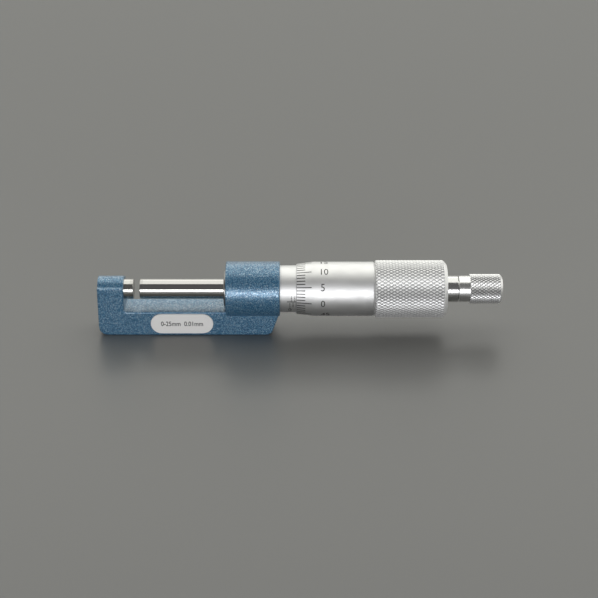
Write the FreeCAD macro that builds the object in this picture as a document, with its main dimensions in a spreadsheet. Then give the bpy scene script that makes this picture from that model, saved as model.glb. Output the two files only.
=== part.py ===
import FreeCAD, Part

import math
import os
import re

import Sketcher

# Hub micrometer, 0 to 25 mm, 0.5 mm to one turn of its thimble.
# The measuring axis runs along X, with the anvil's face at X = 0 and the ratchet toward +X.
# The frame stands on Z = 0 and Y = 0 is its middle plane. Turned pieces are drawn about X and
# lifted to the axis height by their Placement.

SIZES = (
    # Measuring axis
    ("axis_height", 14.0),
    ("reading", 2.0),
    ("travel", 25.0),
    # Frame: a flat plate with a block for the anvil, a beam, and a round boss for the sleeves
    ("frame_thick", 9.5),
    ("anvil_stickout", 3.0),
    ("block_length", 8.15),
    ("block_rise", 2.3),
    ("block_round", 0.35),
    ("dome_dia", 8.3),
    ("throat_length", 32.0),
    ("boss_dia", 17.3),
    ("boss_length", 16.95),
    ("boss_inset", 0.45),
    ("tail_height", 6.8),
    ("tail_lean", 2.35),
    ("heel_round", 2.8),
    ("tail_round", 2.2),
    ("throat_round", 0.9),
    ("edge_round", 0.4),
    # Range plate on the beam
    ("plate_length", 19.6),
    ("plate_thick", 0.5),
    ("plate_proud", 0.15),
    ("plate_gap", 0.12),
    ("plate_setback", 8.3),
    ("plate_lift", 0.75),
    ("plate_margin", 0.61),
    # Anvil and the carbide faces
    ("spindle_dia", 6.35),
    ("anvil_seat_depth", 6.4),
    ("carbide_length", 1.0),
    ("face_chamfer", 0.12),
    # Inner sleeve: guide for the spindle, nut thread and split collet end
    ("guide_wall", 1.555),
    ("collar_stickout", 0.65),
    ("collar_chamfer", 0.25),
    ("relief_step", 0.35),
    ("relief_margin", 5.5),
    ("nut_thread_length", 14.5),
    ("collet_neck", 1.0),
    ("collet_length", 9.5),
    ("collet_step", 0.45),
    ("collet_drop", 0.4),
    ("collet_slot", 0.8),
    ("collet_slots", 3),
    # Outer sleeve, which carries the millimetre scale
    ("sleeve_wall", 1.665),
    ("zero_setback", 3.1),
    ("sleeve_tail", 2.95),
    ("sleeve_chamfer", 0.4),
    ("wrench_hole_dia", 1.5),
    ("wrench_hole_setback", 1.6),
    # Adjusting nut on the collet
    ("nut_step", 0.7),
    ("nut_length", 5.0),
    ("nut_setback", 2.2),
    ("nut_slot", 1.2),
    ("nut_slot_depth", 1.2),
    ("nut_chamfer", 0.3),
    # Spindle
    ("thread_step", 0.62),
    ("thread_engagement", 12.5),
    ("thread_overrun", 1.0),
    ("taper_relief", 0.6),
    ("taper_step", 0.2),
    ("taper_length", 5.5),
    ("taper_drop", 0.6),
    ("screw_engagement", 6.0),
    # Thimble, which carries the fiftieths scale on its bevel
    ("tip_wall", 0.47),
    ("bevel_length", 5.45),
    ("bevel_rise", 0.68),
    ("grip_step", 0.47),
    ("grip_length", 22.3),
    ("grip_shoulder", 0.7),
    ("grip_relief", 0.5),
    ("grip_chamfer", 1.15),
    ("thimble_floor", 7.0),
    # Ratchet stop
    ("ring_dia", 8.34),
    ("ring_length", 3.6),
    ("ring_gap", 0.3),
    ("skirt_length", 3.45),
    ("skirt_wall", 0.87),
    ("knob_step", 0.48),
    ("knob_length", 10.15),
    ("knob_chamfer", 0.8),
    ("tooth_count", 12),
    ("tooth_height", 0.6),
    ("tooth_root", 0.2),
    ("tooth_backlash", 0.06),
    ("tooth_side_gap", 0.01),
    ("clutch_length", 2.2),
    ("key_width", 1.1),
    ("key_height", 0.35),
    ("spring_wire", 0.4),
    ("spring_turns", 3.5),
    ("spring_length", 4.5),
    ("screw_dia", 2.6),
    ("shoulder_step", 0.5),
    ("head_step", 0.9),
    ("head_length", 1.8),
    ("head_setback", 0.7),
    ("head_slot", 0.8),
    ("head_slot_depth", 0.8),
    ("washer_thick", 0.4),
    # Clearances, each on one side
    ("running_fit", 0.02),
    ("seat_fit", 0.01),
    ("collar_gap", 0.2),
    ("thimble_clearance", 0.1),
    ("loose_fit", 0.1),
    ("knob_fit", 0.05),
    ("head_gap", 0.3),
    ("hub_gap", 0.3),
    ("end_play", 0.05),
)

# Radii and places along the axis that follow from the sizes.
DERIVED = (
    ("plate_half", "frame_thick / 2"),
    ("beam_drop", "inner_sleeve_radius + collar_gap"),
    ("block_inner", "-anvil_stickout"),
    ("block_outer", "block_inner - block_length"),
    ("anvil_back", "block_inner - anvil_seat_depth"),
    ("boss_inner", "block_inner + throat_length"),
    ("boss_outer", "boss_inner + boss_length"),
    ("tail_edge", "boss_outer - boss_inset"),
    ("tail_foot", "tail_edge - tail_lean"),
    ("plate_radius", "(axis_height - beam_drop - plate_lift - plate_margin) / 2"),
    ("plate_left", "block_inner + plate_setback + plate_radius"),
    ("plate_right", "block_inner + plate_setback + plate_length - plate_radius"),
    ("plate_level", "plate_lift + plate_radius - axis_height"),
    ("spindle_radius", "spindle_dia / 2"),
    ("anvil_hole_radius", "spindle_radius + seat_fit"),
    ("inner_sleeve_radius", "relief_radius + guide_wall"),
    ("sleeve_bore_radius", "inner_sleeve_radius + seat_fit"),
    ("sleeve_radius", "sleeve_bore_radius + sleeve_wall"),
    ("boss_radius", "boss_dia / 2"),
    ("collar_front", "boss_inner - collar_stickout"),
    ("zero_line", "boss_outer + zero_setback"),
    ("sleeve_end", "zero_line + travel + sleeve_tail"),
    ("collet_start", "sleeve_end + collet_neck"),
    ("collet_end", "collet_start + collet_length"),
    ("collet_radius", "inner_sleeve_radius - collet_step"),
    ("collet_end_radius", "collet_radius - collet_drop"),
    ("nut_thread_start", "collet_end - nut_thread_length"),
    ("nut_end", "collet_end - nut_setback"),
    ("nut_start", "nut_end - nut_length"),
    ("nut_radius", "sleeve_radius - nut_step"),
    ("cone_slope", "collet_drop / collet_length"),
    ("nut_bore_front", "collet_radius - cone_slope * (nut_start - collet_start) + seat_fit"),
    ("nut_bore_back", "collet_radius - cone_slope * (nut_end - collet_start) + seat_fit"),
    ("thread_radius", "spindle_radius + thread_step"),
    ("thread_back", "collet_end + reading + thread_overrun"),
    ("thread_front", "collet_end - thread_engagement - travel + reading"),
    ("relief_start", "thread_front - reading - relief_margin"),
    ("relief_radius", "thread_radius + relief_step"),
    ("taper_front", "thread_back + taper_relief"),
    ("taper_back", "taper_front + taper_length"),
    ("taper_radius", "thread_radius - taper_step"),
    ("taper_back_radius", "taper_radius - taper_drop"),
    ("thimble_edge", "zero_line + reading"),
    ("bevel_end", "thimble_edge + bevel_length"),
    ("thimble_bore_radius", "sleeve_radius + thimble_clearance"),
    ("tip_radius", "sleeve_radius + tip_wall"),
    ("thimble_radius", "tip_radius + bevel_rise"),
    ("grip_radius", "thimble_radius + grip_step"),
    ("thimble_end", "taper_front + thimble_floor"),
    ("grip_start", "thimble_end - grip_length"),
    ("ring_end", "thimble_end + ring_length"),
    ("skirt_start", "ring_end + ring_gap"),
    ("knob_start", "skirt_start + skirt_length"),
    ("knob_end", "knob_start + knob_length"),
    ("ring_radius", "ring_dia / 2"),
    ("knob_radius", "ring_radius + knob_step"),
    ("chamber_radius", "ring_radius - skirt_wall"),
    ("clutch_radius", "chamber_radius - loose_fit"),
    ("clutch_front", "ring_end + tooth_height + tooth_backlash"),
    ("clutch_back", "clutch_front + clutch_length"),
    ("chamber_end", "clutch_back + spring_length"),
    ("screw_radius", "screw_dia / 2"),
    ("screw_hole_radius", "screw_radius + running_fit"),
    ("screw_front", "taper_back - screw_engagement"),
    ("screw_hole_end", "screw_front - end_play"),
    ("shoulder_radius", "screw_radius + shoulder_step"),
    ("knob_bore_radius", "shoulder_radius + knob_fit"),
    ("head_radius", "shoulder_radius + head_step"),
    ("recess_radius", "head_radius + head_gap"),
    ("head_back", "knob_end - head_setback"),
    ("head_front", "head_back - head_length"),
    ("washer_front", "head_front - washer_thick"),
    ("recess_start", "washer_front - end_play"),
    ("tooth_inner", "shoulder_radius + hub_gap"),
    ("tooth_outer", "clutch_radius * cos(180deg / tooth_count)"),
    ("half_pitch", "tan(180deg / tooth_count)"),
    ("spring_radius", "(shoulder_radius + chamber_radius) / 2"),
)

SAME_PLACE = 1e-6
V = FreeCAD.Vector
doc = FreeCAD.newDocument("hub_micrometer")
sheet = doc.addObject("Spreadsheet::Sheet", "Sizes")
row = 0
for alias, content in SIZES + DERIVED:
    row += 1
    sheet.set("A%d" % row, alias)
    sheet.set("B%d" % row, ("=" if isinstance(content, str) else "") + str(content))
    sheet.setAlias("B%d" % row, alias)
SCRATCH_CELL = "D1"
doc.recompute()


def bound(formula):
    """The formula with each of the sheet's aliases written as a reference to the sheet."""
    return re.sub(r"[a-z]\w*", lambda word: "Sizes." + word.group(0), formula)


def number(formula):
    """The present value of a formula in the sheet's aliases."""
    sheet.set(SCRATCH_CELL, "=" + formula)
    sheet.recompute()
    return float(sheet.get(SCRATCH_CELL))


def bind(thing, prop, formula):
    """Ties one property of a feature, sketch or body to the sheet."""
    thing.setExpression(prop, bound(formula))


def origin_feature(body, role):
    for feature in body.Origin.OriginFeatures:
        if feature.Role == role:
            return feature
    raise ValueError("no origin feature " + role)


def new_body(label):
    """A body drawn about the measuring axis, which its Placement lifts over the base."""
    body = doc.addObject("PartDesign::Body", label)
    body.Label = label
    bind(body, "Placement.Base.z", "axis_height")
    return body


def new_sketch(body, name, role, offset=None):
    """A sketch on one of the body's own origin planes, moved along its normal by a formula."""
    sketch = body.newObject("Sketcher::SketchObject", name)
    sketch.AttachmentSupport = (origin_feature(body, role), [""])
    sketch.MapMode = "FlatFace"
    if offset:
        bind(sketch, "AttachmentOffset.Base.z", offset)
    return sketch


def pin(sketch, kind, geometry, point, formula):
    """Holds one coordinate of a sketch point at a formula's value."""
    if formula == "0":
        axis = -1 if kind == "DistanceY" else -2
        sketch.addConstraint(Sketcher.Constraint("PointOnObject", geometry, point, axis))
        return
    value = number(formula)
    index = sketch.addConstraint(Sketcher.Constraint(kind, -1, 1, geometry, point, value))
    bind(sketch, "Constraints[%d]" % index, formula)


def set_radius(sketch, arc, formula):
    index = sketch.addConstraint(Sketcher.Constraint("Radius", arc, number(formula)))
    bind(sketch, "Constraints[%d]" % index, formula)


def polygon(sketch, corners):
    """A closed outline. A corner is (x, y) or (x, y, radius), each a formula of the sheet.

    Each corner is a construction point, and a rounded one keeps its point where the two
    sides would meet."""
    count = len(corners)
    spots = [V(number(c[0]), number(c[1]), 0) for c in corners]
    radii = [number(c[2]) if len(c) > 2 else 0 for c in corners]
    marks = []
    for spot, corner in zip(spots, corners):
        mark = sketch.addGeometry(Part.Point(spot), True)
        pin(sketch, "DistanceX", mark, 1, corner[0])
        pin(sketch, "DistanceY", mark, 1, corner[1])
        marks.append(mark)
    ways = []
    trims = []
    for i in range(count):
        to_next = (spots[(i + 1) % count] - spots[i]).normalize()
        to_last = (spots[i - 1] - spots[i]).normalize()
        ways.append((to_last, to_next))
        half = to_last.getAngle(to_next) / 2
        trims.append(radii[i] / math.tan(half) if radii[i] else 0)
    sides = []
    for i in range(count):
        j = (i + 1) % count
        start = spots[i] + ways[i][1] * trims[i]
        end = spots[j] + ways[j][0] * trims[j]
        sides.append(sketch.addGeometry(Part.LineSegment(start, end), False))
    for i in range(count):
        before, after = sides[i - 1], sides[i]
        if not radii[i]:
            sketch.addConstraint(Sketcher.Constraint("Coincident", before, 2, marks[i], 1))
            sketch.addConstraint(Sketcher.Constraint("Coincident", after, 1, marks[i], 1))
            continue
        to_last, to_next = ways[i]
        half = to_last.getAngle(to_next) / 2
        inward = (to_last + to_next).normalize()
        centre = spots[i] + inward * (radii[i] / math.sin(half))
        first = spots[i] + to_last * trims[i]
        last = spots[i] + to_next * trims[i]
        middle = centre - inward * radii[i]
        arc = sketch.addGeometry(Part.Arc(first, middle, last), False)
        # An arc of a sketch runs anticlockwise, so its first end depends on the turn.
        anticlockwise = to_last.cross(to_next).z < 0
        enters, leaves = (1, 2) if anticlockwise else (2, 1)
        sketch.addConstraint(Sketcher.Constraint("Tangent", before, 2, arc, enters))
        sketch.addConstraint(Sketcher.Constraint("Tangent", after, 1, arc, leaves))
        sketch.addConstraint(Sketcher.Constraint("PointOnObject", marks[i], 1, before))
        sketch.addConstraint(Sketcher.Constraint("PointOnObject", marks[i], 1, after))
        set_radius(sketch, arc, corners[i][2])


def stadium(sketch, left, right, height, radius):
    """A slot outline between two end centres on one level."""
    x1, x2, y, r = number(left), number(right), number(height), number(radius)
    quarter = math.pi / 2
    up = V(0, 0, 1)
    west = sketch.addGeometry(
        Part.ArcOfCircle(Part.Circle(V(x1, y, 0), up, r), quarter, 3 * quarter), False)
    east = sketch.addGeometry(
        Part.ArcOfCircle(Part.Circle(V(x2, y, 0), up, r), -quarter, quarter), False)
    low = sketch.addGeometry(Part.LineSegment(V(x1, y - r, 0), V(x2, y - r, 0)), False)
    high = sketch.addGeometry(Part.LineSegment(V(x2, y + r, 0), V(x1, y + r, 0)), False)
    sketch.addConstraint(Sketcher.Constraint("Tangent", west, 2, low, 1))
    sketch.addConstraint(Sketcher.Constraint("Tangent", low, 2, east, 1))
    sketch.addConstraint(Sketcher.Constraint("Tangent", east, 2, high, 1))
    sketch.addConstraint(Sketcher.Constraint("Tangent", high, 2, west, 1))
    for arc, centre in ((west, left), (east, right)):
        pin(sketch, "DistanceX", arc, 3, centre)
        pin(sketch, "DistanceY", arc, 3, height)
        set_radius(sketch, arc, radius)


def circle(sketch, x, y, radius):
    ring = sketch.addGeometry(
        Part.Circle(V(number(x), number(y), 0), V(0, 0, 1), number(radius)), False)
    pin(sketch, "DistanceX", ring, 3, x)
    pin(sketch, "DistanceY", ring, 3, y)
    set_radius(sketch, ring, radius)


def rectangle(sketch, x1, x2, y1, y2):
    polygon(sketch, ((x1, y1), (x2, y1), (x2, y2), (x1, y2)))


def turn(body, name, corners, kind="Revolution"):
    """A profile of (place along X, radius) corners turned about the body's X axis."""
    sketch = new_sketch(body, name + "_profile", "XY_Plane")
    polygon(sketch, corners)
    feature = body.newObject("PartDesign::" + kind, name)
    feature.Profile = sketch
    feature.ReferenceAxis = (sketch, ["H_Axis"])
    feature.Angle = 360
    doc.recompute()
    return feature


def bore(body, name, start, end, radius):
    return turn(body, name, ((start, "0"), (end, "0"), (end, radius), (start, radius)), "Groove")


def extrude(body, name, kind, sketch, length, both=False, back=False):
    """A pad or pocket of a sketch, as long as a formula says."""
    feature = body.newObject("PartDesign::" + kind, name)
    feature.Profile = sketch
    if both:
        feature.SideType = "Symmetric"
    if back:
        feature.Reversed = True
    bind(feature, "Length", length)
    doc.recompute()
    return feature


def repeat_round_axis(body, name, features, count):
    pattern = body.newObject("PartDesign::PolarPattern", name)
    pattern.Originals = features
    pattern.Axis = (origin_feature(body, "X_Axis"), [""])
    pattern.Angle = 360
    bind(pattern, "Occurrences", count)
    body.Tip = pattern
    doc.recompute()
    return pattern


def build_frame():
    body = new_body("frame")
    base = "-axis_height"
    side = new_sketch(body, "frame_side", "XZ_Plane")
    polygon(side, (
        ("block_outer", base, "heel_round"),
        ("tail_foot", base, "tail_round"),
        ("tail_edge", "tail_height - axis_height"),
        ("tail_edge", "0"),
        ("boss_inner + boss_inset", "0"),
        ("boss_inner + boss_inset", "-beam_drop"),
        ("block_inner", "-beam_drop", "throat_round"),
        ("block_inner", "block_rise", "block_round"),
        ("block_outer", "block_rise", "block_round"),
    ))
    plate = extrude(body, "frame_plate", "Pad", side, "frame_thick", both=True)
    half = number("plate_half")
    rims = []
    for index, edge in enumerate(plate.Shape.Edges, 1):
        ends = [v.Point for v in edge.Vertexes]
        if all(abs(abs(p.y) - half) < SAME_PLACE for p in ends):
            if all(abs(p.y - ends[0].y) < SAME_PLACE for p in ends):
                rims.append("Edge%d" % index)
    rim = body.newObject("PartDesign::Fillet", "frame_rims")
    rim.Base = (plate, rims)
    bind(rim, "Radius", "edge_round")
    doc.recompute()
    turn(body, "frame_boss", (
        ("boss_inner", "0"),
        ("boss_outer", "0"),
        ("boss_outer", "boss_radius", "edge_round"),
        ("boss_inner", "boss_radius", "edge_round"),
    ))
    turn(body, "frame_dome", (
        ("block_outer", "0"),
        ("block_inner", "0"),
        ("block_inner", "dome_dia / 2", "block_round"),
        ("block_outer", "dome_dia / 2", "block_round"),
    ))
    bore(body, "boss_bore", "boss_inner", "boss_outer", "sleeve_bore_radius")
    bore(body, "anvil_hole", "anvil_back", "block_inner", "anvil_hole_radius")
    recess = new_sketch(body, "plate_recess_outline", "XZ_Plane", "plate_half")
    stadium(recess, "plate_left", "plate_right", "plate_level", "plate_radius + plate_gap")
    extrude(body, "plate_recess", "Pocket", recess, "plate_thick - plate_proud")
    return body


def build_range_plate():
    body = new_body("range_plate")
    face = new_sketch(body, "plate_outline", "XZ_Plane", "plate_half + plate_proud")
    stadium(face, "plate_left", "plate_right", "plate_level", "plate_radius")
    extrude(body, "plate_sheet", "Pad", face, "plate_thick", back=True)
    return body


def build_measuring_faces():
    anvil = new_body("anvil")
    turn(anvil, "anvil_pin", (
        ("anvil_back", "0"),
        ("-carbide_length", "0"),
        ("-carbide_length", "spindle_radius"),
        ("anvil_back + face_chamfer", "spindle_radius"),
        ("anvil_back", "spindle_radius - face_chamfer"),
    ))
    anvil_tip = new_body("anvil_tip")
    turn(anvil_tip, "anvil_disc", (
        ("-carbide_length", "0"),
        ("0", "0"),
        ("0", "spindle_radius - face_chamfer"),
        ("-face_chamfer", "spindle_radius"),
        ("-carbide_length", "spindle_radius"),
    ))
    spindle_tip = new_body("spindle_tip")
    turn(spindle_tip, "spindle_disc", (
        ("reading", "0"),
        ("reading + carbide_length", "0"),
        ("reading + carbide_length", "spindle_radius"),
        ("reading + face_chamfer", "spindle_radius"),
        ("reading", "spindle_radius - face_chamfer"),
    ))
    return [anvil, anvil_tip, spindle_tip]


def build_inner_sleeve():
    """The guide bore, the relief for the thread, and the split cone that the nut closes."""
    body = new_body("inner_sleeve")
    turn(body, "inner_sleeve_turned", (
        ("collar_front", "spindle_radius + running_fit"),
        ("relief_start", "spindle_radius + running_fit"),
        ("relief_start", "relief_radius"),
        ("nut_thread_start", "relief_radius"),
        ("nut_thread_start", "thread_radius + running_fit"),
        ("collet_end", "thread_radius + running_fit"),
        ("collet_end", "collet_end_radius"),
        ("collet_start", "collet_radius"),
        ("sleeve_end", "collet_radius"),
        ("sleeve_end", "inner_sleeve_radius"),
        ("collar_front + collar_chamfer", "inner_sleeve_radius"),
        ("collar_front", "inner_sleeve_radius - collar_chamfer"),
    ))
    slit = new_sketch(body, "collet_slit_outline", "XY_Plane")
    rectangle(slit, "collet_start", "collet_end + collet_neck", "-collet_slot / 2", "collet_slot / 2")
    cut = extrude(body, "collet_slit", "Pocket", slit, "inner_sleeve_radius", back=True)
    repeat_round_axis(body, "collet_slits", [cut], "collet_slots")
    return body


def build_outer_sleeve():
    body = new_body("outer_sleeve")
    turn(body, "outer_sleeve_turned", (
        ("boss_outer", "sleeve_bore_radius"),
        ("sleeve_end", "sleeve_bore_radius"),
        ("sleeve_end", "sleeve_radius - sleeve_chamfer"),
        ("sleeve_end - sleeve_chamfer", "sleeve_radius"),
        ("boss_outer", "sleeve_radius"),
    ))
    hole = new_sketch(body, "wrench_hole_outline", "XZ_Plane")
    circle(hole, "boss_outer + wrench_hole_setback", "0", "wrench_hole_dia / 2")
    extrude(body, "wrench_hole", "Pocket", hole, "sleeve_radius * 2")
    return body


def build_adjusting_nut():
    body = new_body("adjusting_nut")
    turn(body, "adjusting_nut_turned", (
        ("nut_start", "nut_bore_front"),
        ("nut_end", "nut_bore_back"),
        ("nut_end", "nut_radius - nut_chamfer"),
        ("nut_end - nut_chamfer", "nut_radius"),
        ("nut_start + nut_chamfer", "nut_radius"),
        ("nut_start", "nut_radius - nut_chamfer"),
    ))
    slot = new_sketch(body, "spanner_slot_outline", "XY_Plane")
    rectangle(slot, "nut_end - nut_slot_depth", "nut_end + nut_slot_depth", "-nut_slot / 2", "nut_slot / 2")
    extrude(body, "spanner_slot", "Pocket", slot, "sleeve_radius * 2", both=True)
    return body


def build_spindle():
    body = new_body("spindle")
    turn(body, "spindle_turned", (
        ("reading + carbide_length", "0"),
        ("screw_hole_end", "0"),
        ("screw_hole_end", "screw_hole_radius"),
        ("taper_back", "screw_hole_radius"),
        ("taper_back", "taper_back_radius"),
        ("taper_front", "taper_radius"),
        ("taper_front", "taper_radius - taper_step"),
        ("thread_back", "taper_radius - taper_step"),
        ("thread_back", "thread_radius"),
        ("thread_front + thread_step", "thread_radius"),
        ("thread_front", "spindle_radius"),
        ("reading + carbide_length", "spindle_radius"),
    ))
    return body


def build_thimble():
    body = new_body("thimble")
    turn(body, "thimble_turned", (
        ("thimble_edge", "thimble_bore_radius"),
        ("taper_front", "thimble_bore_radius"),
        ("taper_front", "taper_radius + running_fit"),
        ("taper_back", "taper_back_radius + running_fit"),
        ("thimble_end", "taper_back_radius + running_fit"),
        ("thimble_end", "grip_radius - grip_chamfer"),
        ("thimble_end - grip_chamfer", "grip_radius"),
        ("grip_start", "grip_radius"),
        ("grip_start", "thimble_radius - grip_relief"),
        ("grip_start - grip_shoulder", "thimble_radius"),
        ("bevel_end", "thimble_radius"),
        ("thimble_edge", "tip_radius"),
    ))
    return body


def face_teeth(body, name, section):
    """A ring of saw teeth, each lofted outward so that its edges run to the axis.

    section(radius) gives one tooth's corners at that radius as (x, y) formulas."""
    outlines = []
    for place, radius in (("inner", "tooth_inner"), ("outer", "tooth_outer")):
        outline = new_sketch(body, name + "_" + place, "XY_Plane", radius)
        polygon(outline, section(radius))
        outlines.append(outline)
    tooth = body.newObject("PartDesign::AdditiveLoft", name)
    tooth.Profile = outlines[0]
    tooth.Sections = [outlines[1]]
    tooth.Ruled = True
    doc.recompute()
    repeat_round_axis(body, name + "_ring", [tooth], "tooth_count")


def build_ratchet_base():
    """The fixed half of the ratchet: a ring against the thimble, with saw teeth on its back."""
    body = new_body("ratchet_base")
    turn(body, "ratchet_base_turned", (
        ("thimble_end", "screw_hole_radius"),
        ("ring_end", "screw_hole_radius"),
        ("ring_end", "ring_radius"),
        ("thimble_end", "ring_radius"),
    ))
    # At the top a tooth rises toward +Y and ends in a steep face there, so that the clutch
    # slips over it when the knob closes the spindle and drives it when the knob opens it.
    face_teeth(body, "base_teeth", lambda radius: (
        ("ring_end - tooth_root", "-half_pitch * " + radius),
        ("ring_end - tooth_root", "half_pitch * " + radius),
        ("ring_end + tooth_height * " + radius + " / tooth_outer", "half_pitch * " + radius),
        ("ring_end", "-half_pitch * " + radius),
    ))
    return body


def build_ratchet_clutch():
    """The sliding half: saw teeth that fit the base's, and two keys that ride in the knob."""
    body = new_body("ratchet_clutch")
    turn(body, "clutch_disc", (
        ("clutch_front", "0"),
        ("clutch_back", "0"),
        ("clutch_back", "clutch_radius"),
        ("clutch_front", "clutch_radius"),
    ))
    keys = new_sketch(body, "key_outline", "YZ_Plane", "clutch_front")
    rectangle(keys, "-key_width / 2", "key_width / 2",
              "-clutch_radius - key_height", "clutch_radius + key_height")
    extrude(body, "keys", "Pad", keys, "clutch_length")
    bore(body, "clutch_bore", "clutch_front", "clutch_back", "shoulder_radius + loose_fit")
    face_teeth(body, "clutch_teeth", lambda radius: (
        ("ring_end + tooth_backlash", "(tooth_side_gap - half_pitch) * " + radius),
        ("ring_end + tooth_backlash + tooth_height * " + radius + " / tooth_outer",
         "(half_pitch - tooth_side_gap) * " + radius),
        ("clutch_front + tooth_root", "(half_pitch - tooth_side_gap) * " + radius),
        ("clutch_front + tooth_root", "(tooth_side_gap - half_pitch) * " + radius),
    ))
    return body


def build_ratchet_knob():
    body = new_body("ratchet_knob")
    turn(body, "knob_turned", (
        ("skirt_start", "chamber_radius"),
        ("chamber_end", "chamber_radius"),
        ("chamber_end", "knob_bore_radius"),
        ("recess_start", "knob_bore_radius"),
        ("recess_start", "recess_radius"),
        ("knob_end", "recess_radius"),
        ("knob_end", "knob_radius - knob_chamfer"),
        ("knob_end - knob_chamfer", "knob_radius"),
        ("knob_start", "knob_radius"),
        ("knob_start", "ring_radius"),
        ("skirt_start", "ring_radius"),
    ))
    keyway = new_sketch(body, "keyway_outline", "YZ_Plane", "skirt_start")
    rectangle(keyway, "-key_width / 2 - running_fit", "key_width / 2 + running_fit",
              "-clutch_radius - key_height - running_fit", "clutch_radius + key_height + running_fit")
    extrude(body, "keyways", "Pocket", keyway, "chamber_end - skirt_start", back=True)
    return body


def build_ratchet_screw():
    """A shouldered screw: it clamps the base and the thimble to the spindle's taper."""
    body = new_body("ratchet_screw")
    turn(body, "screw_turned", (
        ("screw_front", "0"),
        ("head_back", "0"),
        ("head_back", "head_radius"),
        ("head_front", "head_radius"),
        ("head_front", "shoulder_radius"),
        ("ring_end", "shoulder_radius"),
        ("ring_end", "screw_radius"),
        ("screw_front", "screw_radius"),
    ))
    slot = new_sketch(body, "driver_slot_outline", "XY_Plane")
    rectangle(slot, "head_back - head_slot_depth", "head_back + head_slot_depth",
              "-head_slot / 2", "head_slot / 2")
    extrude(body, "driver_slot", "Pocket", slot, "knob_radius * 2", both=True)
    washer = new_body("ratchet_washer")
    turn(washer, "washer_turned", (
        ("washer_front", "shoulder_radius + running_fit"),
        ("head_front", "shoulder_radius + running_fit"),
        ("head_front", "head_radius + loose_fit"),
        ("washer_front", "head_radius + loose_fit"),
    ))
    return [body, washer]


def build_ratchet_spring():
    body = new_body("ratchet_spring")
    wire = new_sketch(body, "wire_outline", "XY_Plane")
    circle(wire, "clutch_back + spring_wire / 2 + running_fit", "spring_radius", "spring_wire / 2")
    coil = body.newObject("PartDesign::AdditiveHelix", "coil")
    coil.Profile = wire
    coil.ReferenceAxis = (wire, ["H_Axis"])
    coil.Mode = "height-turns-angle"
    bind(coil, "Height", "spring_length - spring_wire - 2 * running_fit")
    bind(coil, "Turns", "spring_turns")
    doc.recompute()
    return body


bodies = [build_frame(), build_range_plate()]
bodies += build_measuring_faces()
bodies += [build_inner_sleeve(), build_outer_sleeve(), build_adjusting_nut()]
bodies += [build_spindle(), build_thimble(), build_ratchet_base(), build_ratchet_clutch()]
bodies += [build_ratchet_knob(), build_ratchet_spring()]
bodies += build_ratchet_screw()
doc.recompute()

faults = []
for thing in doc.Objects:
    if "Invalid" in thing.State or "Error" in thing.State:
        faults.append(thing.Name)
for body in bodies:
    shape = body.Shape
    if shape.isNull() or not shape.isValid() or len(shape.Solids) != 1:
        faults.append(body.Label)
if faults:
    raise RuntimeError("failed: " + ", ".join(faults))

os.makedirs("parts", exist_ok=True)
for body in bodies:
    body.Shape.exportStep("parts/" + body.Label + ".step")
    box = body.Shape.optimalBoundingBox(True, False)
    print("%-16s volume %8.2f  x %7.2f..%7.2f  y %6.2f..%6.2f  z %6.2f..%6.2f" % (
        body.Label, body.Shape.Volume, box.XMin, box.XMax, box.YMin, box.YMax, box.ZMin, box.ZMax))
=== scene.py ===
import math

import bmesh
import bpy
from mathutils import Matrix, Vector


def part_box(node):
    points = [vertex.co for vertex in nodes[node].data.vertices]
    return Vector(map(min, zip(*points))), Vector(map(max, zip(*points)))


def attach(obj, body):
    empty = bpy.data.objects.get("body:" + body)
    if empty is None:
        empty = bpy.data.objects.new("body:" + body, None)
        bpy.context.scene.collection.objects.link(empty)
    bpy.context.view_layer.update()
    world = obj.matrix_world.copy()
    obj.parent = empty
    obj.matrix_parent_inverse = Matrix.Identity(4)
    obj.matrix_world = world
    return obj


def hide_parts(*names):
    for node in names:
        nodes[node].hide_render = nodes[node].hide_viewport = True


# Hub micrometer: blue hammered frame, satin chrome sleeve and thimble, knurled grip and knob.
# The measuring axis runs along X. An angle round it is 0 facing -Y and 90 degrees at the top.

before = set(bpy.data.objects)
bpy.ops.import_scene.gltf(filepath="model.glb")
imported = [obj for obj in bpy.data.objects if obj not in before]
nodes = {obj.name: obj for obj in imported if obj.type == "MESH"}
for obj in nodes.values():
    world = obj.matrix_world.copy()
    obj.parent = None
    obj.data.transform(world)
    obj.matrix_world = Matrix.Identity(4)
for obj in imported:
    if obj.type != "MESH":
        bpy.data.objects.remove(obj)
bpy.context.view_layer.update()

MM = 0.001
TAU = 2 * math.pi

SLEEVE_LOW, SLEEVE_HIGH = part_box("outer_sleeve")
THIMBLE_LOW, THIMBLE_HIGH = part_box("thimble")
KNOB_LOW, KNOB_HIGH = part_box("ratchet_knob")
PLATE_LOW, PLATE_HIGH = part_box("range_plate")
AXIS_HEIGHT = (SLEEVE_LOW.z + SLEEVE_HIGH.z) / 2
SLEEVE_RADIUS = (SLEEVE_HIGH.z - SLEEVE_LOW.z) / 2

# Thimble, as the solid has it
THIMBLE_EDGE = THIMBLE_LOW.x
THIMBLE_END = THIMBLE_HIGH.x
GRIP_RADIUS = (THIMBLE_HIGH.z - THIMBLE_LOW.z) / 2
PLAIN_RADIUS = GRIP_RADIUS - 0.47 * MM
TIP_RADIUS = PLAIN_RADIUS - 0.68 * MM
BEVEL_END = THIMBLE_EDGE + 5.45 * MM
GRIP_START = THIMBLE_END - 22.3 * MM
GRIP_SHOULDER = 0.7 * MM
GRIP_RELIEF = 0.5 * MM
GRIP_EDGE = 0.22 * MM
GRIP_CHAMFER = 1.15 * MM
THIMBLE_BORE = SLEEVE_RADIUS + 0.1 * MM
THIMBLE_FLOOR = THIMBLE_END - 7.0 * MM
TAPER_END = THIMBLE_FLOOR + 5.5 * MM
TAPER_RADIUS = 3.615 * MM
TAPER_END_RADIUS = 3.015 * MM

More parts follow.
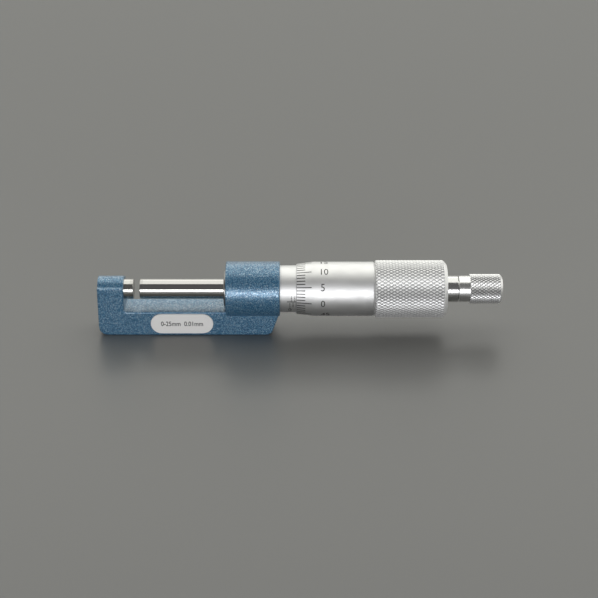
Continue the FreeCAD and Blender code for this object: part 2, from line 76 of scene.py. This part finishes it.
# Ratchet knob
KNOB_START = KNOB_LOW.x + 3.45 * MM
KNOB_RADIUS = (KNOB_HIGH.z - KNOB_LOW.z) / 2
SKIRT_RADIUS = KNOB_RADIUS - 0.48 * MM
KNOB_CHAMFER = 0.8 * MM
CHAMBER_RADIUS = SKIRT_RADIUS - 0.87 * MM
CHAMBER_END = KNOB_HIGH.x - 6.54 * MM
KNOB_BORE = 1.85 * MM
RECESS_RADIUS = 3.0 * MM
RECESS_START = KNOB_HIGH.x - 2.95 * MM
KEYWAY_HALF_WIDTH = 0.57 * MM
KEYWAY_REACH = 3.57 * MM

# Knurls: starts round the piece in each hand, the length of a diamond, and its depth
KNURL_STEPS = 8
GRIP_STARTS = 52
GRIP_DIAMOND = 1.88 * MM
GRIP_KNURL_DEPTH = 0.18 * MM
KNOB_STARTS = 30
KNOB_DIAMOND = 1.4 * MM
KNOB_KNURL_DEPTH = 0.19 * MM
KNURL_GROOVE = 0.4

# Scales
INDEX_ANGLE = math.radians(-7.0)
ZERO_LINE = SLEEVE_LOW.x + 3.1 * MM
TRAVEL_MM = 25
DIVISIONS = 50
LINE_WIDTH = 0.28 * MM
INK_PROUD = 0.004 * MM
INK_DEPTH = 0.02 * MM
LETTER_SLICE = 0.25 * MM

THIMBLE_LONG_LINE = 4.75 * MM
THIMBLE_SHORT_LINE = 2.8 * MM
THIMBLE_LINE_GAP = 0.15 * MM
THIMBLE_NUMERAL = 2.3 * MM
THIMBLE_NUMERAL_START = 7.65 * MM

SLEEVE_LONG_LINE = 2.6 * MM
SLEEVE_LINE = 2.2 * MM
SLEEVE_HALF_LINE = 1.85 * MM
SLEEVE_NUMERAL = 1.7 * MM
SLEEVE_NUMERAL_DROP = 2.9 * MM

PLATE_WORDS = "0-25mm  0.01mm"
PLATE_WORDS_HEIGHT = 1.6 * MM
PLATE_WORDS_WIDTH = 13.2 * MM

# Stage and camera
FLOOR_HALF = 4.0
WORLD_LEVEL = 0.13
WARM = (1.0, 1.0, 0.95)
COOL = (0.97, 0.975, 1.0)
LAMP_TARGET = Vector((0.052, 0, 0.014))
CAMERA_TARGET = Vector((51.9, -1.46, 11.14)) * MM
CAMERA_DISTANCE = 500 * MM
CAMERA_ELEVATION = math.radians(27)
CAMERA_LENS = 95.7


def on_axis(x, radius, angle):
    """A point at a place along the axis, a radius and an angle round it."""
    return Vector((x, -radius * math.cos(angle), AXIS_HEIGHT + radius * math.sin(angle)))


def new_piece(name, mesh, body, material, smooth_angle=None):
    """An object of a mesh that rides on a body and has one material."""
    piece = bpy.data.objects.new(name, mesh)
    bpy.context.scene.collection.objects.link(piece)
    mesh.materials.append(material)
    if smooth_angle is not None:
        mesh.shade_smooth()
        mesh.set_sharp_from_angle(angle=smooth_angle)
    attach(piece, body)
    return piece


def dress_from(piece, x, material):
    """Gives the faces past a place along the axis a second material."""
    piece.data.materials.append(material)
    for face in piece.data.polygons:
        if face.center.x > x:
            face.material_index = 1


def turned_mesh(name, rings, segments):
    """A closed shell round the axis. A ring is (x, radius), and a radius may be a function
    of the angle. Each cell is split along the diagonal that fits the surface better."""
    vertices = []
    for x, radius in rings:
        for i in range(segments):
            angle = TAU * i / segments
            r = radius(angle) if callable(radius) else radius
            vertices.append(on_axis(x, r, angle))
    faces = []
    for k in range(len(rings)):
        here = k * segments
        after = (k + 1) % len(rings) * segments
        flat = not (callable(rings[k][1]) and callable(rings[(k + 1) % len(rings)][1]))
        for i in range(segments):
            j = (i + 1) % segments
            a, b, c, d = here + i, here + j, after + j, after + i
            if flat:
                faces.append((a, b, c, d))
                continue
            rise_ac = radius_at(vertices[a]) + radius_at(vertices[c])
            rise_bd = radius_at(vertices[b]) + radius_at(vertices[d])
            if rise_ac < rise_bd:
                faces += [(a, b, c), (a, c, d)]
            else:
                faces += [(a, b, d), (b, c, d)]
    mesh = bpy.data.meshes.new(name)
    mesh.from_pydata(vertices, [], faces)
    mesh.validate()
    shell = bmesh.new()
    shell.from_mesh(mesh)
    bmesh.ops.recalc_face_normals(shell, faces=shell.faces)
    shell.to_mesh(mesh)
    shell.free()
    return mesh


def radius_at(point):
    return math.hypot(point.y, point.z - AXIS_HEIGHT)


def knurl_drop(turns, lengths, starts):
    """How far the surface lies under the knurl's crests, as a share of its depth.

    Two families of grooves cross: one phase rises along the axis and the other falls."""
    deepest = 0
    for phase in (turns * starts + lengths, turns * starts - lengths):
        off = abs(phase - round(phase))
        deepest = max(deepest, 1 - off / KNURL_GROOVE)
    return deepest


def knurled_rings(start, end, limit, crest, starts, diamond, depth, extra=()):
    """Rings of a knurl from start to end, cut off by limit(x), such as by a chamfer."""
    step = diamond / KNURL_STEPS
    count = round((end - start) / step)
    places = {round(start + i * step, 7) for i in range(count + 1)}
    places = {x for x in places if start <= x <= end}
    places |= {start, end, *extra}
    rings = []
    for x in sorted(places):
        rings.append((x, lambda angle, x=x: min(
            limit(x), crest - depth * knurl_drop(angle / TAU, (x - start) / diamond, starts))))
    return rings


def build_thimble(material, knurl_material):
    chamfer_start = THIMBLE_END - GRIP_CHAMFER

    def limit(x):
        rise = (x - GRIP_START) / GRIP_EDGE
        fall = (THIMBLE_END - x) / GRIP_CHAMFER
        low = GRIP_RADIUS - GRIP_EDGE * max(0, 1 - rise)
        return min(low, GRIP_RADIUS - GRIP_CHAMFER * max(0, 1 - fall))

    edge = 0.12 * MM
    rings = [
        (THIMBLE_EDGE, THIMBLE_BORE),
        (THIMBLE_EDGE, TIP_RADIUS - edge),
        (THIMBLE_EDGE + edge, TIP_RADIUS + edge * 0.12),
        (BEVEL_END - 0.3 * MM, PLAIN_RADIUS - 0.035 * MM),
        (BEVEL_END, PLAIN_RADIUS - 0.008 * MM),
        (BEVEL_END + 0.3 * MM, PLAIN_RADIUS),
        (GRIP_START - GRIP_SHOULDER - edge, PLAIN_RADIUS),
        (GRIP_START - GRIP_SHOULDER, PLAIN_RADIUS - edge * 0.3),
        (GRIP_START, PLAIN_RADIUS - GRIP_RELIEF),
    ]
    rings += knurled_rings(GRIP_START, THIMBLE_END, limit, GRIP_RADIUS, GRIP_STARTS,
                           GRIP_DIAMOND, GRIP_KNURL_DEPTH, (GRIP_START + GRIP_EDGE, chamfer_start))
    rings += [
        (THIMBLE_END, TAPER_END_RADIUS),
        (TAPER_END, TAPER_END_RADIUS),
        (THIMBLE_FLOOR, TAPER_RADIUS),
        (THIMBLE_FLOOR, THIMBLE_BORE),
    ]
    mesh = turned_mesh("knurled_thimble", rings, GRIP_STARTS * KNURL_STEPS)
    piece = new_piece("knurled_thimble", mesh, "thimble", material, math.radians(22))
    dress_from(piece, GRIP_START, knurl_material)
    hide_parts("thimble")


def build_knob(material, knurl_material):
    chamfer_start = KNOB_HIGH.x - KNOB_CHAMFER
    edge = 0.1 * MM

    def limit(x):
        rise = (x - KNOB_START) / edge
        fall = (KNOB_HIGH.x - x) / KNOB_CHAMFER
        low = KNOB_RADIUS - edge * max(0, 1 - rise)
        return min(low, KNOB_RADIUS - KNOB_CHAMFER * max(0, 1 - fall))

    def chamber(angle):
        across = abs(math.cos(angle)) * CHAMBER_RADIUS
        if across > KEYWAY_HALF_WIDTH:
            return CHAMBER_RADIUS
        return KEYWAY_REACH / abs(math.sin(angle))

    rings = [
        (KNOB_LOW.x, chamber),
        (KNOB_LOW.x, SKIRT_RADIUS - edge),
        (KNOB_LOW.x + edge, SKIRT_RADIUS),
        (KNOB_START - edge, SKIRT_RADIUS),
        (KNOB_START, SKIRT_RADIUS),
    ]
    rings += knurled_rings(KNOB_START, KNOB_HIGH.x, limit, KNOB_RADIUS, KNOB_STARTS,
                           KNOB_DIAMOND, KNOB_KNURL_DEPTH, (KNOB_START + edge, chamfer_start))
    rings += [
        (KNOB_HIGH.x, RECESS_RADIUS + edge),
        (KNOB_HIGH.x - edge, RECESS_RADIUS),
        (RECESS_START, RECESS_RADIUS),
        (RECESS_START, KNOB_BORE),
        (CHAMBER_END, KNOB_BORE),
        (CHAMBER_END, chamber),
    ]
    mesh = turned_mesh("knurled_knob", rings, KNOB_STARTS * KNURL_STEPS)
    piece = new_piece("knurled_knob", mesh, "ratchet", material, math.radians(22))
    dress_from(piece, KNOB_START, knurl_material)
    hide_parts("ratchet_knob")


def flat_words(words, height, width=None, weight=0.0):
    """A flat mesh of lettering with its lower left corner at the origin, as high as said."""
    curve = bpy.data.curves.new("lettering", "FONT")
    curve.body = words
    curve.offset = weight
    source = bpy.data.objects.new("lettering", curve)
    mesh = bpy.data.meshes.new_from_object(source)
    bpy.data.objects.remove(source)
    bpy.data.curves.remove(curve)
    flat = bmesh.new()
    flat.from_mesh(mesh)
    bpy.data.meshes.remove(mesh)
    low = Vector((min(v.co[i] for v in flat.verts) for i in range(3)))
    high = Vector((max(v.co[i] for v in flat.verts) for i in range(3)))
    tall = height / (high.y - low.y)
    wide = width / (high.x - low.x) if width else tall * 0.9
    for v in flat.verts:
        v.co = Vector(((v.co.x - low.x) * wide, (v.co.y - low.y) * tall, 0))
    return flat


def sliced(flat, step):
    """Cuts a flat mesh across at even heights, so that it can bend round a cylinder."""
    high = max(v.co.y for v in flat.verts)
    level = step
    while level < high:
        parts = list(flat.verts) + list(flat.edges) + list(flat.faces)
        bmesh.ops.bisect_plane(flat, geom=parts, plane_co=(0, level, 0), plane_no=(0, 1, 0))
        level += step
    return flat


class Ink:
    """Filled engraving on one piece: thin marks that stand a hair proud of their surface."""

    def __init__(self):
        self.vertices = []
        self.faces = []

    def patch(self, outline):
        """One closed cell from its corners, each (outer point, inner point)."""
        start = len(self.vertices)
        count = len(outline)
        for outer, inner in outline:
            self.vertices += [outer, inner]
        self.faces.append([start + 2 * i for i in range(count)])
        self.faces.append([start + 2 * i + 1 for i in reversed(range(count))])
        for i in range(count):
            j = (i + 1) % count
            self.faces.append([start + 2 * i, start + 2 * i + 1,
                               start + 2 * j + 1, start + 2 * j])

    def stroke(self, x1, x2, angle1, angle2, radius):
        """A mark between two places and two angles on a turned surface, radius(x)."""
        pieces = max(1, math.ceil(abs(angle2 - angle1) / math.radians(4)))
        for i in range(pieces):
            low = angle1 + (angle2 - angle1) * i / pieces
            high = angle1 + (angle2 - angle1) * (i + 1) / pieces
            corners = []
            for x, angle in ((x1, low), (x2, low), (x2, high), (x1, high)):
                corners.append((on_axis(x, radius(x) + INK_PROUD, angle),
                                on_axis(x, radius(x) - INK_DEPTH, angle)))
            self.patch(corners)

    def words(self, flat, place):
        """Lettering whose flat points place(x, y, lift) puts on the surface."""
        for face in flat.faces:
            self.patch([(place(v.co.x, v.co.y, INK_PROUD), place(v.co.x, v.co.y, -INK_DEPTH))
                        for v in face.verts])
        flat.free()

    def finish(self, name, body, material):
        mesh = bpy.data.meshes.new(name)
        mesh.from_pydata(self.vertices, [], self.faces)
        shell = bmesh.new()
        shell.from_mesh(mesh)
        bmesh.ops.remove_doubles(shell, verts=shell.verts, dist=1e-7)
        seen = {}
        for face in list(shell.faces):
            key = frozenset(v.index for v in face.verts)
            if key in seen:
                shell.faces.remove(face)
                if seen[key] is not None:
                    shell.faces.remove(seen[key])
                    seen[key] = None
                continue
            seen[key] = face
        bmesh.ops.recalc_face_normals(shell, faces=shell.faces)
        shell.to_mesh(mesh)
        shell.free()
        return new_piece(name, mesh, body, material)


def bevel_radius(x):
    share = (x - THIMBLE_EDGE) / (BEVEL_END - THIMBLE_EDGE)
    return TIP_RADIUS + (PLAIN_RADIUS - TIP_RADIUS) * min(1, share)


def build_thimble_scale(material):
    """Fifty lines on the bevel, every fifth longer, and a numeral at each fifth."""
    ink = Ink()
    for i in range(DIVISIONS):
        angle = INDEX_ANGLE + TAU * i / DIVISIONS
        length = THIMBLE_LONG_LINE if i % 5 == 0 else THIMBLE_SHORT_LINE
        half = LINE_WIDTH / 2 / bevel_radius(THIMBLE_EDGE + length / 2)
        ink.stroke(THIMBLE_EDGE + THIMBLE_LINE_GAP, THIMBLE_EDGE + length,
                   angle - half, angle + half, bevel_radius)
    height = THIMBLE_NUMERAL
    left = THIMBLE_EDGE + THIMBLE_NUMERAL_START
    for value in range(0, DIVISIONS, 5):
        angle = INDEX_ANGLE + TAU * value / DIVISIONS

        def place(x, y, lift, angle=angle):
            return on_axis(left + x, PLAIN_RADIUS + lift, angle + (y - height / 2) / PLAIN_RADIUS)

        ink.words(sliced(flat_words(str(value), height), LETTER_SLICE), place)
    ink.finish("thimble_scale", "thimble", material)


def build_sleeve_scale(material):
    """The index line, a line each millimetre under it and each half millimetre over it."""
    ink = Ink()
    half_line = LINE_WIDTH / 2 / SLEEVE_RADIUS

    def radius(x):
        return SLEEVE_RADIUS

    ink.stroke(ZERO_LINE - 0.9 * MM, ZERO_LINE + (TRAVEL_MM + 1.5) * MM,
               INDEX_ANGLE - half_line, INDEX_ANGLE + half_line, radius)
    for i in range(TRAVEL_MM + 1):
        x = ZERO_LINE + i * MM
        length = SLEEVE_LONG_LINE if i % 5 == 0 else SLEEVE_LINE
        ink.stroke(x - LINE_WIDTH / 2, x + LINE_WIDTH / 2,
                   INDEX_ANGLE - length / SLEEVE_RADIUS, INDEX_ANGLE - half_line, radius)
        if i < TRAVEL_MM:
            x += 0.5 * MM
            ink.stroke(x - LINE_WIDTH / 2, x + LINE_WIDTH / 2,
                       INDEX_ANGLE + half_line, INDEX_ANGLE + SLEEVE_HALF_LINE / SLEEVE_RADIUS,
                       radius)
    height = SLEEVE_NUMERAL
    for value in range(0, TRAVEL_MM + 1, 5):
        flat = flat_words(str(value), height, weight=0.01)
        wide = max(v.co.x for v in flat.verts)
        left = ZERO_LINE + value * MM - wide / 2

        def place(x, y, lift, left=left):
            drop = SLEEVE_NUMERAL_DROP + height - y
            return on_axis(left + x, SLEEVE_RADIUS + lift, INDEX_ANGLE - drop / SLEEVE_RADIUS)

        ink.words(sliced(flat, LETTER_SLICE), place)
    ink.finish("sleeve_scale", "frame", material)


def build_plate_text(material):
    """The range and the value of a division, printed on the plate."""
    ink = Ink()
    height, width = PLATE_WORDS_HEIGHT, PLATE_WORDS_WIDTH
    flat = flat_words(PLATE_WORDS, height, width, 0.012)
    left = (PLATE_LOW.x + PLATE_HIGH.x) / 2 - width / 2
    low = (PLATE_LOW.z + PLATE_HIGH.z) / 2 - height / 2

    def place(x, y, lift):
        return Vector((left + x, PLATE_LOW.y - lift * 0.5, low + y))

    ink.words(flat, place)
    ink.finish("plate_text", "frame", material)


def linear(r, g, b):
    """A colour written as 0 to 255 display values, in Blender's linear ones."""
    out = []
    for value in (r, g, b):
        share = value / 255
        out.append(share / 12.92 if share <= 0.04045 else ((share + 0.055) / 1.055) ** 2.4)
    return (*out, 1.0)


class Finish:
    """A material with one shader, and helpers that add detail to it."""

    def __init__(self, name, color, metallic, roughness, **sockets):
        self.material = bpy.data.materials.new(name)
        self.material.use_nodes = True
        self.tree = self.material.node_tree
        self.shader = self.tree.nodes["Principled BSDF"]
        self.set("Base Color", color)
        self.set("Metallic", metallic)
        self.set("Roughness", roughness)
        for key, value in sockets.items():
            self.set(key.replace("_", " "), value)
        self.place = self.tree.nodes.new("ShaderNodeTexCoord").outputs["Object"]
        self.normal = None

    def set(self, socket, value):
        self.shader.inputs[socket].default_value = value

    def link(self, output, socket):
        self.tree.links.new(output, socket)

    def stretched(self, scale):
        node = self.tree.nodes.new("ShaderNodeMapping")
        node.inputs["Scale"].default_value = scale
        self.link(self.place, node.inputs["Vector"])
        return node.outputs["Vector"]

    def noise(self, size, detail=2.0, stretch=(1, 1, 1)):
        node = self.tree.nodes.new("ShaderNodeTexNoise")
        node.inputs["Scale"].default_value = 1 / size
        node.inputs["Detail"].default_value = detail
        self.link(self.stretched(stretch), node.inputs["Vector"])
        return node.outputs["Fac"]

    def cells(self, size, feature="F1"):
        node = self.tree.nodes.new("ShaderNodeTexVoronoi")
        node.feature = feature
        node.inputs["Scale"].default_value = 1 / size
        self.link(self.place, node.inputs["Vector"])
        return node.outputs["Distance"]

    def mapped(self, value, low, high, start, end):
        """A value from start..end mapped onto low..high."""
        node = self.tree.nodes.new("ShaderNodeMapRange")
        for key, number in (("From Min", start), ("From Max", end), ("To Min", low), ("To Max", high)):
            node.inputs[key].default_value = number
        self.link(value, node.inputs["Value"])
        return node.outputs["Result"]

    def spread(self, value, low, high, start, end, socket):
        """Maps a value from start..end onto low..high for one number of the shader."""
        self.link(self.mapped(value, low, high, start, end), self.shader.inputs[socket])

    def maths(self, operation, first, second=0.0):
        """One step of arithmetic on values or numbers."""
        node = self.tree.nodes.new("ShaderNodeMath")
        node.operation = operation
        for socket, term in zip(node.inputs, (first, second)):
            if isinstance(term, (int, float)):
                socket.default_value = term
            else:
                self.link(term, socket)
        return node.outputs["Value"]

    def knurl_height(self, start, end, starts, diamond):
        """0 at the bottom of a knurl's grooves and 0.5 on its crests, and 0.5 past its end."""
        split = self.tree.nodes.new("ShaderNodeSeparateXYZ")
        self.link(self.place, split.inputs["Vector"])
        rise = self.maths("SUBTRACT", split.outputs["Z"], AXIS_HEIGHT)
        front = self.maths("MULTIPLY", split.outputs["Y"], -1)
        turns = self.maths("MULTIPLY", self.maths("ARCTAN2", rise, front), starts / TAU)
        along = self.mapped(split.outputs["X"], 0, (end - start) / diamond, start, end)
        heights = [self.maths("PINGPONG", self.maths(hand, turns, along), 0.5)
                   for hand in ("ADD", "SUBTRACT")]
        lower = self.maths("MINIMUM", *heights)
        past = self.mapped(split.outputs["X"], 0, 0.5, end, end + 0.2 * MM)
        return self.maths("MAXIMUM", lower, past)

    def ramp(self, value, stops):
        """Colours the surface by a value, from (position, colour) stops."""
        node = self.tree.nodes.new("ShaderNodeValToRGB")
        elements = node.color_ramp.elements
        while len(elements) < len(stops):
            elements.new(0.5)
        for element, (position, color) in zip(elements, stops):
            element.position = position
            element.color = color
        self.link(value, node.inputs["Fac"])
        self.link(node.outputs["Color"], self.shader.inputs["Base Color"])

    def bump(self, value, rise, strength=1.0):
        node = self.tree.nodes.new("ShaderNodeBump")
        node.inputs["Distance"].default_value = rise
        node.inputs["Strength"].default_value = strength
        self.link(value, node.inputs["Height"])
        if self.normal:
            self.link(self.normal, node.inputs["Normal"])
        self.normal = node.outputs["Normal"]
        self.link(self.normal, self.shader.inputs["Normal"])


def hammered_paint():
    look = Finish("hammered_blue_paint", linear(70, 116, 144), 0.2, 0.34, Coat_Weight=0.7,
                  Coat_Roughness=0.24)
    flakes = look.noise(0.2 * MM, 3.0)
    look.ramp(flakes, (
        (0.38, linear(14, 61, 94)),
        (0.49, linear(46, 103, 140)),
        (0.58, linear(94, 149, 179)),
        (0.67, linear(226, 238, 244)),
    ))
    look.spread(flakes, 0.15, 0.7, 0.46, 0.64, "Metallic")
    look.bump(look.cells(0.5 * MM, "SMOOTH_F1"), 0.035 * MM)
    look.bump(look.noise(0.22 * MM, 2.0), 0.016 * MM)
    return look.material


def satin_chrome(name="satin_chrome", roughness=0.5):
    look = Finish(name, linear(242, 242, 241), 1.0, roughness)
    look.shader.distribution = "GGX"
    look.spread(look.noise(3 * MM, 3.0), roughness - 0.03, roughness + 0.04, 0.3, 0.7, "Roughness")
    look.bump(look.noise(0.08 * MM, 2.0), 0.0015 * MM)
    return look.material


def knurled_chrome(name, crest, metallic, roughness, start, end, starts, diamond):
    """Chrome on a knurl with painted shade: its base colour darkens to grey towards the bottoms of the
    grooves and is brightest on the crests.
    """
    look = Finish(name, crest, metallic, roughness)
    height = look.knurl_height(start, end, starts, diamond)
    # Painted shade: the colour falls from the crest colour to grey towards the bottom of each groove
    look.ramp(height, (
        (0.02, linear(126, 126, 127)),
        (0.1, linear(206, 206, 206)),
        (0.2, crest),
    ))
    look.spread(look.noise(0.6 * MM, 3.0), roughness - 0.03, roughness + 0.05, 0.3, 0.7, "Roughness")
    look.bump(look.noise(0.08 * MM, 2.0), 0.004 * MM)
    return look.material


def ground_steel(name, color, roughness, rise=0.0006 * MM):
    """Steel ground on centres: very fine rings round the axis."""
    look = Finish(name, color, 1.0, roughness)
    look.spread(look.noise(1.2 * MM, 3.0, (6, 0.3, 0.3)), roughness - 0.02, roughness + 0.03, 0.3, 0.7,
                "Roughness")
    look.bump(look.noise(0.1 * MM, 3.0, (2.5, 0.06, 0.06)), rise)
    return look.material


def carbide():
    look = Finish("carbide", linear(186, 185, 181), 1.0, 0.14)
    look.spread(look.noise(0.05 * MM, 2.0), 0.12, 0.24, 0.35, 0.65, "Roughness")
    look.bump(look.noise(0.03 * MM, 1.0), 0.0004 * MM)
    return look.material


def plate_metal():
    look = Finish("plate_metal", linear(238, 237, 234), 0.12, 0.4)
    look.spread(look.noise(0.4 * MM, 3.0, (1, 1, 8)), 0.4, 0.52, 0.3, 0.7, "Roughness")
    look.bump(look.noise(0.1 * MM, 2.0, (0.3, 1, 3)), 0.001 * MM)
    return look.material


def scale_ink(name, color):
    look = Finish(name, color, 0.0, 0.62)
    look.bump(look.noise(0.06 * MM, 2.0), 0.002 * MM)
    return look.material


def paint_nodes(material, *names):
    for name in names:
        node = nodes[name]
        node.data.materials.clear()
        node.data.materials.append(material)


def softbox(name, place, aim, width, height, radiance, color):
    """A soft rectangular lamp, given by the brightness and colour of its face."""
    lamp = bpy.data.lights.new(name, "AREA")
    lamp.color = color
    lamp.shape = "RECTANGLE"
    lamp.size = width
    lamp.size_y = height
    lamp.energy = radiance * math.pi * width * height
    holder = bpy.data.objects.new(name, lamp)
    holder.location = place
    holder.rotation_mode = "QUATERNION"
    holder.rotation_quaternion = (Vector(aim) - Vector(place)).to_track_quat("-Z", "Y")
    holder.visible_camera = False
    bpy.context.scene.collection.objects.link(holder)


def build_floor():
    far = FLOOR_HALF
    corners = [(-far, -far, 0), (far, -far, 0), (far, far, 0), (-far, far, 0)]
    mesh = bpy.data.meshes.new("floor")
    mesh.from_pydata(corners, [], [(0, 1, 2, 3)])
    floor = bpy.data.objects.new("floor", mesh)
    bpy.context.scene.collection.objects.link(floor)
    look = Finish("pale_floor", linear(98, 98, 96), 0.0, 0.4, IOR=1.7)
    mesh.materials.append(look.material)


def build_lights():
    world = bpy.data.worlds.new("studio")
    bpy.context.scene.world = world
    world.use_nodes = True
    background = world.node_tree.nodes["Background"]
    background.inputs["Color"].default_value = (WORLD_LEVEL, WORLD_LEVEL, WORLD_LEVEL, 1)
    background.inputs["Strength"].default_value = 1.0

    softbox("overhead_softbox", (0.052, 0.33, 0.67), LAMP_TARGET, 1.6, 1.0, 1.24, WARM)
    softbox("back_softbox", (0.052, 1.0, 0.4), LAMP_TARGET, 2.0, 0.8, 0.62, WARM)
    softbox("front_softbox", (0.052, -0.9, 0.128), LAMP_TARGET, 1.1, 0.25, 5.9, COOL)
    softbox("right_softbox", (0.95, 0.25, 0.28), LAMP_TARGET, 1.1, 0.5, 1.0, WARM)
    softbox("left_softbox", (-0.85, 0.25, 0.28), LAMP_TARGET, 1.1, 0.5, 0.5, WARM)


def build_camera():
    """The photograph's view: level with the object's length, 27 degrees above the floor."""
    lens = bpy.data.cameras.new("camera")
    lens.sensor_width = 36
    lens.lens = CAMERA_LENS
    lens.clip_start = 0.01
    camera = bpy.data.objects.new("camera", lens)
    away = Vector((0, -math.cos(CAMERA_ELEVATION), math.sin(CAMERA_ELEVATION)))
    camera.location = CAMERA_TARGET + away * CAMERA_DISTANCE
    camera.rotation_euler = (math.pi / 2 - CAMERA_ELEVATION, 0, 0)
    bpy.context.scene.collection.objects.link(camera)
    bpy.context.scene.camera = camera


chrome = satin_chrome()
grip_chrome_groove_shade = knurled_chrome("grip_chrome_groove_shade", linear(254, 254, 253), 0.7, 0.46, GRIP_START,
                             THIMBLE_END - GRIP_CHAMFER, GRIP_STARTS, GRIP_DIAMOND)
build_thimble(chrome, grip_chrome_groove_shade)
knob_chrome = satin_chrome("knob_chrome", 0.24)
knob_knurl = knurled_chrome("knob_knurl_chrome_groove_shade", linear(246, 246, 245), 0.85, 0.34, KNOB_START,
                            KNOB_HIGH.x - KNOB_CHAMFER, KNOB_STARTS, KNOB_DIAMOND)
build_knob(knob_chrome, knob_knurl)
black_ink = scale_ink("scale_ink", linear(12, 12, 14))
build_thimble_scale(black_ink)
build_sleeve_scale(black_ink)
build_plate_text(scale_ink("print_ink", linear(22, 22, 24)))

paint_nodes(hammered_paint(), "frame")
paint_nodes(plate_metal(), "range_plate")
paint_nodes(ground_steel("ground_steel", linear(198, 197, 193), 0.1), "spindle", "anvil")
paint_nodes(carbide(), "anvil_tip", "spindle_tip")
paint_nodes(ground_steel("tool_steel", linear(150, 150, 148), 0.28),
            "inner_sleeve", "adjusting_nut", "ratchet_clutch", "ratchet_screw", "ratchet_washer")
paint_nodes(chrome, "outer_sleeve")
paint_nodes(ground_steel("bright_steel", linear(216, 216, 214), 0.18), "ratchet_base")
paint_nodes(ground_steel("spring_steel", linear(120, 120, 122), 0.3), "ratchet_spring")

build_floor()
build_lights()
build_camera()

bpy.context.scene.view_settings.view_transform = "Standard"
